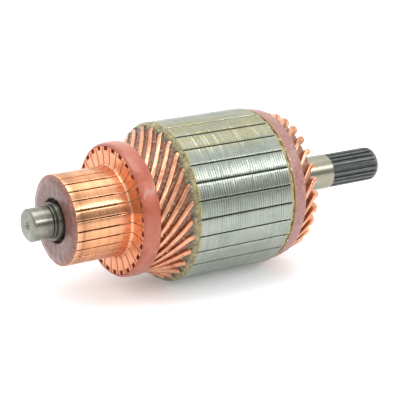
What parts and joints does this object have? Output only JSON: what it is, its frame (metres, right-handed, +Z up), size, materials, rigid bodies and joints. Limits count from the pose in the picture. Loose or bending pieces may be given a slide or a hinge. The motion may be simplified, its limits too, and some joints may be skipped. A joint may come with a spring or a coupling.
{
  "type": "motor armature",
  "caption": "Wound armature with a slotted laminated core, hairpin bar winding, riser commutator, binding bands and a shaft with a toothed drive end.",
  "frame": {"origin": "on the shaft axis, at the inner end of the commutator-end journal", "axes": "+X along the shaft towards the toothed drive end, +Z up, Y across"},
  "size_m": [0.1593, 0.062, 0.062],
  "materials": {
    "shaft_steel": "turned steel, lightly oiled",
    "core_steel": "varnished laminations, ground",
    "fibre": "varnished fibre plate",
    "slot_paper": "varnished slot paper",
    "layer_paper": "resin-soaked wrap",
    "winding_copper": "bare copper bar",
    "commutator_copper": "turned copper",
    "mica": "undercut separator",
    "moulding": "red-brown phenolic moulding",
    "bush_steel": "steel bush",
    "ring_glass": "glass-fibre ring",
    "front_band": "resin-bonded binding",
    "rear_band": "resin-bonded binding"
  },
  "bodies": {
    "root": {"shaft": "shaft_steel", "core_laminations": "core_steel", "front_end_plate": "fibre", "rear_end_plate": "fibre", "slot_liners": "slot_paper", "slot_separators": "slot_paper", "hairpin_bars": "winding_copper", "front_layer_wrap": "layer_paper", "rear_layer_wrap": "layer_paper", "front_shaft_sleeve": "layer_paper", "rear_shaft_sleeve": "layer_paper", "commutator_bars": "commutator_copper", "mica_separators": "mica", "commutator_moulding": "moulding", "commutator_bush": "bush_steel", "front_reinforcing_ring": "ring_glass", "rear_reinforcing_ring": "ring_glass", "front_binding_band": "front_band", "rear_binding_band": "rear_band"}
  },
  "joints": []
}
